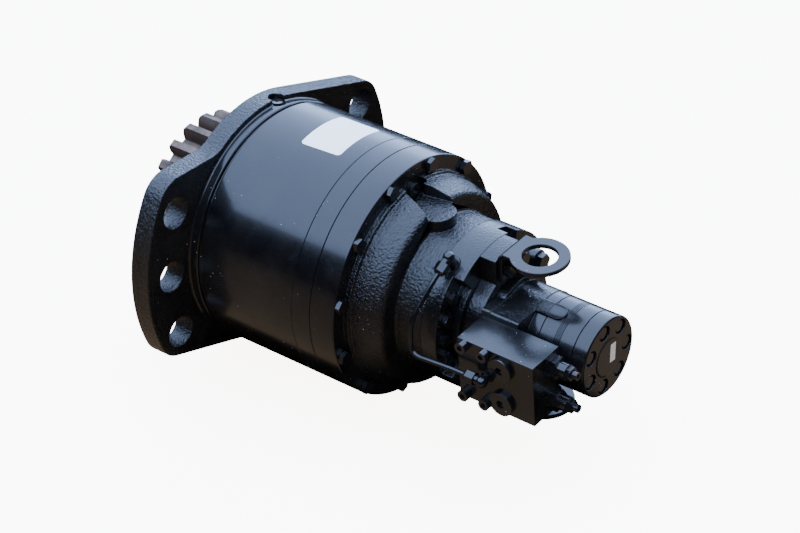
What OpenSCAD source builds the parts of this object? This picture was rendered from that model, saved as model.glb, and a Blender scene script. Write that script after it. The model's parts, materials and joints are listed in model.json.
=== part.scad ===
// Swing drive: pinion, flanged two-stage planetary gearbox, spring-applied brake and orbital motor.
// It lies on its side. X runs along the drive axis from the pinion to the motor, Z is up and the
// flange's ears point along Y. The origin is the centre of the flange's mounting face.

/* [Flange] */
// Thickness of the mounting flange
flange_t = 27; // [22:1:32]
// Radius of the flange's round middle
flange_r = 157; // [154:1:159]
// Radius of the ears' outer arc
ear_r = 221; // [216:1:228]
// Half height of an ear
ear_half = 127; // [122:1:130]
// Radius of the ears' rounded corners
ear_corner_r = 37; // [32:1:40]
// Slope of the two straight flanks, down and out from the round middle
ear_slope = 16; // [14:0.5:18]
// Radius of the blend between an ear and the round middle
ear_blend_r = 40; // [30:1:45]
// Radius of a mounting hole
mount_hole_r = 19.5; // [15:0.5:22]
// Distance of the four corner holes from the ears' outer arc, across the drive
hole_in = 52; // [48:1:54]
// Height of the four corner holes above the middle
hole_z = 82; // [78:1:86]
// Distance of the two middle holes from the ears' outer arc
hole_mid_in = 41; // [36:1:44]
// Radius of the pilot spigot behind the mounting face
spigot_r = 120; // [112:1:125]
// Height of the pilot spigot
spigot_h = 8; // [5:1:12]
// Radius of the hub in front of the flange
hub_r = 150; // [148:0.5:152]
// Length of the hub in front of the flange
hub_len = 12.5; // [10:0.5:16]
// Width of the groove between the hub and the drum
groove_w = 4; // [3:0.5:6]
// Depth of the groove
groove_depth = 4; // [2:0.5:6]
// Radius of the level plug's head
level_plug_r = 8; // [6:0.5:9]

/* [Housings] */
// Radius of the drum
drum_r = 150; // [148:0.5:153]
// Length of the output ring-gear housing
output_ring_len = 141; // [138:0.5:146]
// Length of the input ring-gear housing
input_ring_len = 26.5; // [25:0.5:29]
// Thickness of the end cover's bolt flange
cover_flange_t = 35.5; // [32:0.5:38]
// Length of the end cover's dome in front of the bolt flange
cover_dome_len = 46; // [43:0.5:50]
// Distance of the dome's step inside the drum's outside
cover_step_in = 32; // [30:0.5:34]
// Length of the end cover's neck
neck_len = 38.5; // [36:0.5:42]
// Radius of the end cover's neck
neck_r = 95.6; // [93:0.2:97]
// Distance of the cover bolts' pitch circle inside the drum's outside
cover_bolt_in = 9; // [8.5:0.1:10]
// Radius of a cover bolt's shank
cover_bolt_r = 5; // [4:0.25:5]
// Number of cover bolts
cover_bolt_count = 12; // [8:1:14]

/* [Gears] */
// Teeth of the output pinion
pinion_teeth = 21; // [18:1:22]
// Module of the output pinion
pinion_module = 9; // [7:0.25:9]
// Face width of the output pinion
pinion_face = 68; // [50:1:80]
// Distance from the mounting face to the pinion's teeth
pinion_gap = 20; // [18:1:30]
// Wall of the output ring gear outside its teeth
output_ring_wall = 18; // [16:0.5:22]
// Wall of the input ring gear outside its teeth
input_ring_wall = 25; // [20:0.5:28]
// Face width of the output planets
output_face = 36; // [30:1:38]
// Face width of the input planets
input_face = 22; // [18:0.5:23]
// Side play between meshed teeth, on each flank
tooth_play = 0.2; // [0.12:0.02:0.3]

/* [Brake] */
// Length of the brake housing's bolt flange
brake_flange_t = 22; // [20:0.5:24]
// Radius of the brake housing's bolt flange and bosses
brake_r = 98; // [96:0.5:99]
// Overall length of the brake housing
brake_len = 36.5; // [34:0.5:39]
// Width of an adapter's boss on the side of the valve block
boss_near = 27; // [25:0.5:30]
// Width of an adapter's boss on the other side
boss_far = 20; // [18:0.5:24]
// Travel of the brake piston
brake_travel = 2; // [1:0.25:2.5]
// Thickness of one brake disc
disc_t = 3; // [2.5:0.1:3.2]
// Number of friction discs
friction_count = 4; // [3:1:4]

/* [Motor] */
// Thickness of the motor adapter
adapter_t = 21.5; // [19:0.5:24]
// Radius of the motor's round body
motor_r = 49.4; // [49:0.1:50]
// Turn of the motor, its block and the lifting lugs about the drive axis
motor_roll = 6.1; // [4:0.1:8]
// Thickness of the motor's mounting flange
motor_flange_t = 12; // [10:0.5:14]
// Pitch radius of the motor's two mounting holes
motor_bolt_pitch_r = 73; // [72:0.5:75]
// Half height of the motor's cast body
motor_half = 47.5; // [46:0.25:48.5]
// Distance of the valve block's seat from the motor's axis
block_seat = 57; // [55:0.5:58]
// Length of the square cast body, with the mounting flange
motor_cast_len = 51; // [48:0.5:54]
// Length of the motor housing
motor_housing_len = 66.5; // [64:0.5:70]
// Length of the port plate
port_plate_len = 20.5; // [18:0.5:23]
// Thickness of one manifold plate
manifold_t = 2.2; // [2:0.1:3]
// Width of the stator ring
stator_w = 19.6; // [17:0.2:22]
// Length of the motor's end cap
end_cap_len = 19.3; // [17:0.2:22]
// Pitch radius of the end cap's bolts
cap_bolt_pitch_r = 37; // [36.5:0.1:37.5]
// Offset of the rotor's axis from the motor's axis
rotor_offset = 2.2; // [2:0.1:2.4]

/* [Valve block] */
// Length of the valve block
block_len = 103.5; // [100:0.5:108]
// Width of the valve block, out from the motor
block_w = 49; // [46:0.5:52]
// Height of the valve block above the motor's axis
block_up = 41.7; // [40:0.1:44]
// Height of the valve block below the motor's axis
block_down = 40; // [38:0.5:44]
// Distance from the adapter to the valve block
block_gap = 3; // [2:0.5:5]
// Radius of a gallery plug's head
gallery_plug_r = 15.5; // [14:0.5:15.5]
// Radius of a work port's thread
port_r = 9.5; // [8:0.25:9.5]

/* [Lifting lugs and brake line] */
// Height of a lifting lug's plate above the drive axis
lug_z = 105; // [103:0.5:108]
// Thickness of a lifting lug
lug_t = 6; // [5:0.5:8]
// Width of a lifting lug at its bend
lug_w = 46; // [42:0.5:48]
// Radius of a lifting lug's eye
lug_eye_r = 34.5; // [31:0.5:36]
// Radius of the hole in a lifting lug
lug_hole_r = 20.5; // [17:0.5:21]
// Radius of the brake line
line_r = 3; // [2.5:0.1:3.5]

/* [Hidden] */
$fn = 64;

// fits
run = 0.05;      // radial clearance of a turning fit
slip = 0.3;      // gap between pieces that move past each other
plate_gap = 0.05; // film between stacked plates
edge = 0.6;      // chamfer along a machined seam

// radii that follow the drum, and the mounting holes' places
cover_bolt_pitch_r = drum_r - cover_bolt_in;
cover_ring_r = cover_bolt_pitch_r - 9.5;
cover_step_r = drum_r - cover_step_in;
hole_y = ear_r - hole_in;
hole_mid_y = ear_r - hole_mid_in;

// places along the drive axis
hub_end = flange_t + hub_len;
drum_x = hub_end + groove_w;
seam_a = drum_x + output_ring_len;
seam_b = seam_a + input_ring_len;
bolt_face = seam_b + cover_flange_t;
step_face = bolt_face + cover_dome_len;
neck_end = step_face + neck_len;
brake_ledge = neck_end + brake_flange_t;
brake_end = neck_end + brake_len;
adapter_end = brake_end + adapter_t;
motor_cast_end = adapter_end + motor_cast_len;
housing_end = adapter_end + motor_housing_len;
port_end = housing_end + port_plate_len;
manifold_count = 3;
manifold_end = port_end + manifold_count * manifold_t;
stator_end = manifold_end + stator_w;
cap_end = stator_end + end_cap_len;

// output shaft and its bearings
pinion_in = -pinion_gap;
pinion_out = pinion_in - pinion_face;
shaft_r = 50;
collar_r = 58;
seal_out_r = 72;
seal_w = 12;
collar_end = seal_w - spigot_h + 6;
bearing_out_r = 85;
bearing_w = 34;
bearing_gap = 8;
bearing1_x = collar_end;
bearing2_x = bearing1_x + bearing_w + bearing_gap;
bearings_end = bearing2_x + bearing_w;
sleeve_r = 105;
roller_count = 18;
roller_r = 6.5;
roller_taper = 0.8;
roller_lean = 10;
roller_len = bearing_w - 9;
roller_mid_r = (shaft_r + bearing_out_r) / 2 - 0.5;
cone_rib = 3;
nut_w = 12;
nut_x = bearings_end;
nut_out_r = 66;

// gear stages: teeth, pitch radii and pressure angles
planet_count = 3;
pinion_angle = 20;
stage_angle = 25;
output_sun_teeth = 12;
output_planet_teeth = 15;
output_ring_teeth = output_sun_teeth + 2 * output_planet_teeth;
input_sun_teeth = 12;
input_planet_teeth = 18;
input_ring_teeth = input_sun_teeth + 2 * input_planet_teeth;
stub = 0.8;      // height of a stage tooth above the pitch circle, in modules
foot = 1;        // depth of a stage tooth below the pitch circle, in modules
output_module = (drum_r - output_ring_wall) / (output_ring_teeth / 2 + foot);
input_module = (drum_r - input_ring_wall) / (input_ring_teeth / 2 + foot);
output_centre_r = output_module * (output_sun_teeth + output_planet_teeth) / 2;
input_centre_r = input_module * (input_sun_teeth + input_planet_teeth) / 2;

// output stage places
carrier_hub_x = nut_x + nut_w + 1;
output_cheek_x = carrier_hub_x + 3;
cheek_t = 15;
output_gear_x = output_cheek_x + cheek_t + 2;
output_cheek2_x = output_gear_x + output_face + 2;
cheek2_t = 10;
carrier2_hole_r = output_module * (output_sun_teeth / 2 + stub) + 2;
output_carrier_r = output_centre_r + 31;
output_pin_r = 20;
output_bore_r = shaft_r - 8;
bridge_r = 20;
bridge_centre_r = output_centre_r + 7;

// input stage places
input_gear_x = seam_a + 2;
input_cheek_t = 10;
input_cheek_x = input_gear_x - 2 - input_cheek_t;
input_cheek2_x = input_gear_x + input_face + 1.5;
input_cheek2_t = 7;
input_carrier_r = input_centre_r + 29;
input_pin_r = 15;
sun_shaft_r = 22;
input_carrier2_hole_r = input_module * (input_sun_teeth / 2 + stub) + 2;
input_bridge_r = 14;
input_bridge_centre_r = input_centre_r + 9;

// input shaft, its bearing, and the brake
input_shaft_r = 20;
bearing_x = input_cheek2_x + input_cheek2_t + 8;
ball_bearing_w = 18;
ball_bearing_r = 40;
ball_mid_r = 30;
ball_r = 3.85;
ball_count = 9;
brake_hub_r = 30;
brake_x = bearing_x + ball_bearing_w + 16;
friction_in_r = brake_hub_r + run;
friction_out_r = 60;
steel_in_r = 36;
steel_out_r = 68;
disc_gap = 0.3;
steel_count = friction_count + 1;
pack_len = (friction_count + steel_count) * disc_t + (friction_count + steel_count - 1) * disc_gap;
pack_end = brake_x + pack_len;
piston_x = pack_end + disc_gap;
piston_nose_r = 66;
piston_r = 76;
piston_bore_r = 36;
piston_step_x = neck_end - 26;
piston_end = neck_end - 2;
spring_out_r = 72;
spring_in_r = 44;
spring_t = 3.5;
spring_rise = 3;
spring_count = 2;
cavity_r = 74;
cavity_depth = spring_count * (spring_t + spring_rise) - 2 + 0.3;
input_shaft_end = brake_end - 4;
coupling_r = 14;
coupling_x = neck_end + 6;

// motor inside
motor_shaft_r = 13.9;
motor_shaft_end = motor_cast_end - 4;
motor_shaft_big_r = 22;
motor_shaft_big_x = adapter_end + 10;
link_r = 9;
rotor_lobes = 6;
stator_lobes = rotor_lobes + 1;
stator_roller_r = 6.2;
stator_pitch_r = 28;
rotor_bore_r = 13;
link_play = 0.35;
link_barrel_len = 14;

// bolts
hex_share = 1 / cos(30);
cover_bolt_af = 16;
cover_head_h = 6.5;
cap_bolt_count = 7;
cap_bolt_turn = 105;
cap_bolt_af = 13;
cap_bolt_r = 4;
cap_recess_r = 9.3;
cap_recess_depth = 8;
brake_screw_r = 4;
brake_screw_pitch_r = 83;
brake_screw_af = 13;
brake_screw_turns = [3, 21, 75, 147, 165, 183, 201, 255, 327, 345];
brake_pocket_r = 0.68 * brake_screw_af;
motor_bolt_r = 6;
motor_bolt_turns = [58, 238];
motor_bolt_af = 18;
motor_ear_r = 12.5;

// Everything below is drawn in a frame whose local z is the drive axis
module on_x(x0 = 0) { translate([x0, 0, 0]) rotate([90, 0, 90]) children(); }

// A round bar along the drive axis
module bar(x0, len, r) { on_x(x0) cylinder(h = len, r = r); }

// A tube along the drive axis
module tube(x0, len, r_out, r_in) {
    on_x(x0) difference() {
        cylinder(h = len, r = r_out);
        translate([0, 0, -1]) cylinder(h = len + 2, r = r_in);
    }
}

// A round bar with chamfered edges, so that the seam beside it shows
module seam_bar(x0, len, r) {
    turned([[0, x0], [r - edge, x0], [r, x0 + edge], [r, x0 + len - edge], [r - edge, x0 + len],
        [0, x0 + len]]);
}

// A turned piece, from points [radius, place along the drive axis]
module turned(points) { rotate([90, 0, 90]) rotate_extrude($fn = 96) polygon(points); }

// Copies at given angles about the drive axis, at a radius; 0 is +Y and 90 is +Z
module at_turns(turns, r) {
    for (a = turns) translate([0, r * cos(a), r * sin(a)]) rotate([a, 0, 0]) children();
}

function even_turns(count, first = 0) = [for (k = [0:count - 1]) first + 360 * k / count];

// A hexagon bar along the drive axis, by its width across flats
module hex_bar(x0, len, across) { on_x(x0) cylinder(h = len, r = across / 2 * hex_share, $fn = 6); }

// A hexagon head with a flat washer face, towards +X from x0
module hex_head(x0, height, across) {
    bar(x0, 0.8, across / 2);
    hex_bar(x0 + 0.8, height - 0.8, across);
}

function polar(r, a) = [r * cos(a), r * sin(a)];

// The involute of an angle, in degrees
function involute(a) = tan(a) * 180 / PI - a;

// Half the angle that a tooth covers at radius r, from its thickness on the pitch circle
function half_tooth(teeth, module_mm, angle, thickness, r) =
    let (
        pitch_r = module_mm * teeth / 2,
        base_r = pitch_r * cos(angle),
        at_r = max(r, base_r)
    )
    thickness / (2 * pitch_r) * 180 / PI + involute(angle) - involute(acos(base_r / at_r));

// A gear's outline, one tooth after another, through the given radii of a flank
function gear_points(teeth, module_mm, angle, thickness, radii, first = 0) =
    [for (k = [0:teeth - 1])
        let (centre = first + 360 * k / teeth)
        each concat(
            [for (r = radii) polar(r, centre - half_tooth(teeth, module_mm, angle, thickness, r))],
            [for (i = [len(radii) - 1:-1:0])
                polar(radii[i], centre + half_tooth(teeth, module_mm, angle, thickness, radii[i]))]
        )];

// A stage gear with stub teeth, a tooth's middle at the angle first
module stage_gear(teeth, module_mm, x0, width, first) {
    pitch_r = module_mm * teeth / 2;
    radii = [pitch_r - foot * module_mm, pitch_r - 0.1 * module_mm, pitch_r + stub * module_mm];
    on_x(x0) linear_extrude(width) polygon(gear_points(teeth, module_mm, stage_angle,
        module_mm * PI / 2 - tooth_play, radii, first));
}

// The space that a ring gear's teeth leave, a tooth's middle at angle 0
module ring_space(teeth, module_mm, x0, width) {
    pitch_r = module_mm * teeth / 2;
    radii = [pitch_r - stub * module_mm, pitch_r + 0.1 * module_mm, pitch_r + foot * module_mm];
    on_x(x0) linear_extrude(width) polygon(gear_points(teeth, module_mm, stage_angle,
        module_mm * PI / 2 + tooth_play, radii, 180 / teeth));
}

// How far a planet at an angle is turned to mesh with its ring, and its sun likewise
function planet_turn(place, ring_teeth, planet_teeth) =
    place - (place * ring_teeth - 180) / planet_teeth;
function sun_turn(place, ring_teeth, planet_teeth, sun_teeth) =
    place + (place * ring_teeth + 180 * planet_teeth) / sun_teeth;

function planet_place(k) = 90 + 360 * k / planet_count;

module planet(k, module_mm, ring_teeth, planet_teeth, centre_r, x0, width, pin_r) {
    place = planet_place(k);
    translate([0, centre_r * cos(place), centre_r * sin(place)]) difference() {
        stage_gear(planet_teeth, module_mm, x0, width,
            planet_turn(place, ring_teeth, planet_teeth));
        bar(x0 - 1, width + 2, pin_r + run);
    }
}

// Flange outline in the YZ plane, made of true arcs: each ear has one straight flank that leaves the
// round middle at a tangent, and one hollow flank with a blend
module flange_outline() {
    down = [sin(ear_slope), cos(ear_slope)];
    along = [cos(ear_slope), -sin(ear_slope)];
    reach = ear_r - ear_corner_r;
    rise = flange_r - ear_corner_r;
    high = rise * down + sqrt(pow(reach, 2) - pow(rise, 2)) * along;
    low_z = ear_half - ear_corner_r;
    low = [sqrt(pow(reach, 2) - pow(low_z, 2)), -low_z];
    blend_z = ear_half + ear_blend_r;
    blend_y = sqrt(pow(flange_r + ear_blend_r, 2) - pow(blend_z, 2));
    touch = flange_r / (flange_r + ear_blend_r);
    circle(r = flange_r, $fn = 96);
    for (turn = [0, 180]) rotate([0, 0, turn]) {
        polygon([[0, 0], flange_r * down, high + ear_corner_r * down, high]);
        polygon([[0, 0], [0, -ear_half], [low[0], -ear_half], low]);
        translate(high) circle(r = ear_corner_r);
        translate(low) circle(r = ear_corner_r);
        intersection() {
            circle(r = ear_r, $fn = 96);
            polygon([[0, 0], 2 * low, 2 * high]);
        }
        scale([1, -1]) difference() {
            polygon([[blend_y, ear_half], [touch * blend_y, touch * blend_z],
                [touch * blend_y - 20, ear_half - 20], [blend_y, ear_half - 20]]);
            translate([blend_y, blend_z]) circle(r = ear_blend_r);
        }
    }
}

level_plug_x = flange_t - 3;
level_plug_turn = 84;
level_plug_seat = flange_r - 10;

module mounting_flange() color("#1a1c20") difference() {
    union() {
        on_x() linear_extrude(flange_t) flange_outline();
        turned([[seal_out_r, -spigot_h], [spigot_r - 1, -spigot_h], [spigot_r, 1 - spigot_h],
            [spigot_r, 1], [seal_out_r, 1]]);
        turned([[seal_out_r, 1], [sleeve_r, 1], [hub_r + 2, flange_t - 1], [hub_r, flange_t + 2],
            [hub_r, hub_end - 1], [hub_r - 1, hub_end], [hub_r - groove_depth, hub_end],
            [hub_r - groove_depth, drum_x], [sleeve_r, drum_x],
            [sleeve_r, bearings_end], [seal_out_r, bearings_end]]);
    }
    bar(-spigot_h - 1, seal_w + 1, seal_out_r);
    bar(seal_w - spigot_h - 1, bearings_end + spigot_h, bearing_out_r - 9);
    bar(bearing1_x, bearing_w, bearing_out_r);
    bar(bearing2_x, bearing_w + 1, bearing_out_r);
    for (sy = [-1, 1], z = [-hole_z, hole_z])
        translate([0, sy * hole_y, z]) bar(-1, flange_t + 2, mount_hole_r);
    for (sy = [-1, 1]) translate([0, sy * hole_mid_y, 0]) bar(-1, flange_t + 2, mount_hole_r);
    rotate([level_plug_turn - 90, 0, 0]) translate([level_plug_x, 0, level_plug_seat]) {
        cylinder(h = 20, r = level_plug_r + 2.5);
        translate([0, 0, -10]) cylinder(h = 11, r = level_plug_r - 2);
    }
}

module level_plug() color("#2a2c30")
    rotate([level_plug_turn - 90, 0, 0]) translate([level_plug_x, 0, level_plug_seat])
        difference() {
            union() {
                cylinder(h = 4.5, r = level_plug_r);
                translate([0, 0, -9]) cylinder(h = 9.5, r = level_plug_r - 2);
            }
            translate([0, 0, 1.5]) cylinder(h = 5, r = 3, $fn = 6);
        }

module pinion_shaft() color("#6f6257") {
    tip_r = pinion_module * (pinion_teeth / 2 + 0.7);
    root_r = pinion_module * (pinion_teeth / 2 - 1.25);
    thickness = pinion_module * PI / 2;
    radii = [root_r, root_r + 4, root_r + 8, root_r + 12, tip_r];
    first = 138.3;
    intersection() {
        on_x(pinion_out) linear_extrude(pinion_face) polygon(gear_points(pinion_teeth,
            pinion_module, pinion_angle, thickness, radii, first));
        turned([[0, pinion_out], [tip_r - 3, pinion_out], [tip_r, pinion_out + 3],
            [tip_r, pinion_in - 2], [tip_r - 2, pinion_in], [0, pinion_in]]);
    }
    bar(pinion_in, collar_end - pinion_in, collar_r);
    bar(collar_end, output_cheek_x - collar_end, shaft_r);
    bar(output_cheek_x, cheek_t - 1, output_bore_r);
}

module shaft_seal() color("#222222") {
    seal_x = -spigot_h;
    turned([[collar_r + run, seal_x + 4], [collar_r + 3, seal_x], [seal_out_r, seal_x],
        [seal_out_r, seal_x + seal_w - 1], [collar_r + 6, seal_x + seal_w - 1],
        [collar_r + 6, seal_x + 6], [collar_r + run, seal_x + 6]]);
}

// The second bearing is the first one's mirror image
module bearing_pose(k) {
    if (k == 0) translate([bearing1_x, 0, 0]) children();
    else translate([bearing2_x + bearing_w, 0, 0]) mirror([1, 0, 0]) children();
}

// A corner of a roller's outline: end is -0.5 or 0.5, side is 1 outside and -1 inside
function roller_corner(end, side) =
    let (r = roller_r - roller_taper * (end + 0.5), along = end * roller_len)
    [bearing_w / 2 + along * cos(roller_lean) + side * r * sin(roller_lean),
     roller_mid_r - along * sin(roller_lean) + side * r * cos(roller_lean)];

// Radius of the raceway on one side of the rollers, at a place along the bearing
function race_r(side, x) =
    let (a = roller_corner(-0.5, side), b = roller_corner(0.5, side))
    a[1] + (b[1] - a[1]) * (x - a[0]) / (b[0] - a[0]) + side * slip;

module output_bearing_cups() color("#8b8f94") for (k = [0, 1]) bearing_pose(k)
    turned([[race_r(1, cone_rib), cone_rib], [bearing_out_r, cone_rib],
        [bearing_out_r, bearing_w], [race_r(1, bearing_w), bearing_w]]);

module output_bearing_cones() color("#8b8f94") for (k = [0, 1]) bearing_pose(k)
    turned([[shaft_r, 0], [roller_mid_r + 1, 0], [roller_mid_r + 1, cone_rib],
        [race_r(-1, cone_rib), cone_rib], [race_r(-1, bearing_w), bearing_w],
        [shaft_r, bearing_w]]);

// Tapered rollers: each axis leans so that a roller lies between its cone and cup
module output_bearing_rollers() color("#a9adb2") for (k = [0, 1]) bearing_pose(k)
    at_turns(even_turns(roller_count), roller_mid_r)
        translate([bearing_w / 2, 0, 0]) rotate([0, 0, -roller_lean])
            on_x(-roller_len / 2) cylinder(h = roller_len, r1 = roller_r,
                r2 = roller_r - roller_taper);

module bearing_nut() color("#3c3f44") difference() {
    tube(nut_x, nut_w, nut_out_r, shaft_r);
    for (a = even_turns(4)) rotate([a, 0, 0])
        translate([nut_x - 1, nut_out_r - 4, -4]) cube([nut_w + 2, 6, 8]);
}

module output_ring_gear() color("#14161a") difference() {
    seam_bar(drum_x, output_ring_len, drum_r);
    bar(drum_x - 1, output_ring_len, sleeve_r + run);
    bar(drum_x + 8, seam_a - drum_x, output_module * (output_ring_teeth / 2 - stub));
    ring_space(output_ring_teeth, output_module, output_gear_x - 4, seam_a - output_gear_x + 5);
    cover_bolt_holes(drum_x, output_ring_len);
}

module cover_bolt_holes(x0, len) {
    at_turns(even_turns(cover_bolt_count, 79), cover_bolt_pitch_r)
        bar(x0 - 1, len + 2, cover_bolt_r + 0.25);
}

module output_carrier() color("#4b4e53") difference() {
    union() {
        bar(output_cheek_x, cheek_t, output_carrier_r);
        bar(output_cheek2_x, cheek2_t, output_carrier_r);
        at_turns([for (k = [0:planet_count - 1]) planet_place(k) + 180 / planet_count],
            bridge_centre_r) bar(output_cheek_x, output_cheek2_x - output_cheek_x + 1, bridge_r);
    }
    bar(output_cheek_x - 1, cheek_t, output_bore_r);
    bar(output_cheek_x + cheek_t - 2, 3, output_bore_r - 6);
    bar(output_cheek2_x - 1, cheek2_t + 2, carrier2_hole_r);
    at_turns([for (k = [0:planet_count - 1]) planet_place(k)], output_centre_r)
        bar(output_cheek_x + 3, output_cheek2_x + cheek2_t - output_cheek_x, output_pin_r);
}

module output_planet_pins() color("#9da1a6")
    at_turns([for (k = [0:planet_count - 1]) planet_place(k)], output_centre_r)
        bar(output_cheek_x + 3, output_cheek2_x + cheek2_t - output_cheek_x - 4, output_pin_r);

module output_planet(k) color("#7d8288") planet(k, output_module, output_ring_teeth,
    output_planet_teeth, output_centre_r, output_gear_x, output_face, output_pin_r);

module output_sun() color("#7d8288") {
    stage_gear(output_sun_teeth, output_module, output_gear_x, output_face,
        sun_turn(planet_place(0), output_ring_teeth, output_planet_teeth, output_sun_teeth));
    bar(output_gear_x + output_face - 1, input_cheek_x + input_cheek_t - output_gear_x
        - output_face, sun_shaft_r);
}

module input_ring_gear() color("#14161a") difference() {
    seam_bar(seam_a, input_ring_len, drum_r);
    ring_space(input_ring_teeth, input_module, seam_a - 1, input_ring_len + 2);
    cover_bolt_holes(seam_a, input_ring_len);
}

module input_carrier() color("#4b4e53") difference() {
    union() {
        bar(input_cheek_x, input_cheek_t, input_carrier_r);
        bar(input_cheek2_x, input_cheek2_t, input_carrier_r);
        at_turns([for (k = [0:planet_count - 1]) planet_place(k) + 180 / planet_count],
            input_bridge_centre_r)
                bar(input_cheek_x, input_cheek2_x - input_cheek_x + 1, input_bridge_r);
    }
    bar(input_cheek_x - 1, input_cheek_t, sun_shaft_r);
    bar(input_cheek2_x - 1, input_cheek2_t + 2, input_carrier2_hole_r);
    at_turns([for (k = [0:planet_count - 1]) planet_place(k)], input_centre_r)
        bar(input_cheek_x + 3, input_cheek2_x + input_cheek2_t - input_cheek_x, input_pin_r);
}

module input_planet_pins() color("#9da1a6")
    at_turns([for (k = [0:planet_count - 1]) planet_place(k)], input_centre_r)
        bar(input_cheek_x + 3, input_cheek2_x + input_cheek2_t - input_cheek_x - 4, input_pin_r);

module input_planet(k) color("#7d8288") planet(k, input_module, input_ring_teeth,
    input_planet_teeth, input_centre_r, input_gear_x, input_face, input_pin_r);

module input_shaft() color("#7d8288") difference() {
    union() {
        stage_gear(input_sun_teeth, input_module, input_gear_x, input_face,
            sun_turn(planet_place(0), input_ring_teeth, input_planet_teeth, input_sun_teeth));
        bar(input_gear_x + input_face - 1, input_shaft_end - input_gear_x - input_face + 1,
            input_shaft_r);
        bar(bearing_x - 3, 3, input_shaft_r + 4);
        bar(brake_x + disc_gap, pack_len, brake_hub_r);
    }
    bar(coupling_x, brake_len, coupling_r);
}

// End cover: turned casting with the filler valley and lobe on top
cover_bore_r = input_carrier_r + 8;
cover_bore_end = input_cheek2_x + input_cheek2_t + 3;
valley_turn = 96;
valley_half = 22.5;
valley_r = cover_step_r - 8;
lobe_r = 20;
lobe_base_r = neck_r - 35;
fill_plug_turn = 92.5;
fill_plug_r = 9.5;
fill_plug_pitch_r = cover_step_r + 1;
fill_seat_r = 17.5;
fill_thread_r = 7;
fill_way_r = 3.5;

module end_cover() color("#15171b") difference() {
    union() {
        difference() {
            turned([[input_shaft_r + 6, seam_b], [drum_r - edge, seam_b], [drum_r, seam_b + edge],
                [drum_r, bolt_face - 1],
                [drum_r - 1, bolt_face], [cover_ring_r, bolt_face], [cover_ring_r, bolt_face + 6],
                [cover_ring_r - 3.5, bolt_face + 8], [cover_ring_r - 5.5, bolt_face + 22],
                [cover_step_r + 3, step_face - 10], [cover_step_r + 1.8, step_face - 5.5],
                [cover_step_r - 0.5, step_face - 2.5], [cover_step_r - 3.5, step_face - 0.7],
                [cover_step_r - 7, step_face],
                [neck_r + 4, step_face], [neck_r + 1.2, step_face + 1.2], [neck_r, step_face + 4],
                [neck_r, neck_end], [input_shaft_r + 6, neck_end]]);
            rotate([valley_turn - 90, 0, 0]) translate([0, 0, valley_r]) linear_extrude(drum_r)
                polygon([[bolt_face, -10], [step_face, -valley_half],
                    [step_face + 18, -valley_half], [step_face + 18, valley_half],
                    [step_face, valley_half], [bolt_face, 14]]);
        }
        rotate([valley_turn - 90, 0, 0]) intersection() {
            union() {
                translate([step_face - 2, 0, lobe_base_r]) cylinder(h = valley_r, r = lobe_r);
                translate([bolt_face + 2, -lobe_r, lobe_base_r])
                    cube([cover_dome_len - 4, 2 * lobe_r, valley_r]);
            }
            bar(bolt_face, cover_dome_len + neck_len, valley_r + 0.5);
        }
    }
    bar(seam_b - 1, cover_bore_end - seam_b + 1, cover_bore_r);
    bar(bearing_x, ball_bearing_w, ball_bearing_r);
    bar(bearing_x - 10, 11, ball_bearing_r - 5);
    bar(brake_x, neck_end, steel_out_r);
    bar(piston_step_x, neck_end, piston_r);
    cover_bolt_holes(seam_b, cover_flange_t);
    at_turns(brake_screw_turns, brake_screw_pitch_r) bar(neck_end - 14, 16, brake_screw_r);
    rotate([upper_elbow_turn - 90, 0, 0]) {
        translate([piston_step_x + 2.5, 0, piston_r - 3])
            cylinder(h = oil_way_z - piston_r + 3, r = oil_way_r - 0.5);
        translate([0, 0, oil_way_z]) bar(piston_step_x, neck_end - piston_step_x + 1, oil_way_r);
    }
    rotate([fill_plug_turn - 90, 0, 0]) translate([bolt_face, 0, fill_plug_pitch_r]) {
        bar(0, 9.5, fill_seat_r);
        bar(-14, 16, fill_thread_r);
        translate([-8, 0, 0]) rotate([0, -120, 0]) cylinder(h = 24, r = fill_way_r);
    }
}

// The oil filler plug stands on the bolt face, over the valley
module fill_plug() color("#2a2c30")
    rotate([fill_plug_turn - 90, 0, 0]) translate([bolt_face, 0, fill_plug_pitch_r]) difference() {
        union() {
            bar(0, 5, fill_plug_r);
            bar(-10, 11, fill_thread_r);
        }
        translate([2, 0, 0]) rotate([0, 90, 0]) cylinder(h = 6, r = 4, $fn = 6);
    }

module cover_bolts() color("#2b2e33")
    at_turns(even_turns(cover_bolt_count, 79), cover_bolt_pitch_r) {
        bar(drum_x, bolt_face - drum_x + 1, cover_bolt_r);
        hex_head(bolt_face, cover_head_h, cover_bolt_af);
    }

module input_bearing_outer() color("#8b8f94") tube(bearing_x, ball_bearing_w, ball_bearing_r,
    ball_mid_r + 4);

module input_bearing_inner() color("#8b8f94") tube(bearing_x, ball_bearing_w, ball_mid_r - 4,
    input_shaft_r);

module input_bearing_balls() color("#a9adb2") at_turns(even_turns(ball_count), ball_mid_r)
    translate([bearing_x + ball_bearing_w / 2, 0, 0]) sphere(r = ball_r);

module brake_friction_discs() color("#5b4a38") for (k = [0:friction_count - 1])
    tube(brake_x + (2 * k + 1) * (disc_t + disc_gap), disc_t, friction_out_r, friction_in_r);

module brake_steel_discs() color("#8b8f94") for (k = [0:steel_count - 1])
    tube(brake_x + 2 * k * (disc_t + disc_gap), disc_t, steel_out_r, steel_in_r);

module brake_piston() color("#6c7076") turned([[piston_bore_r, piston_x],
    [piston_nose_r, piston_x], [piston_nose_r, piston_step_x + 5],
    [piston_r - run, piston_step_x + 5], [piston_r - run, piston_end - 2],
    [piston_r - 2, piston_end], [piston_bore_r, piston_end]]);

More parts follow.
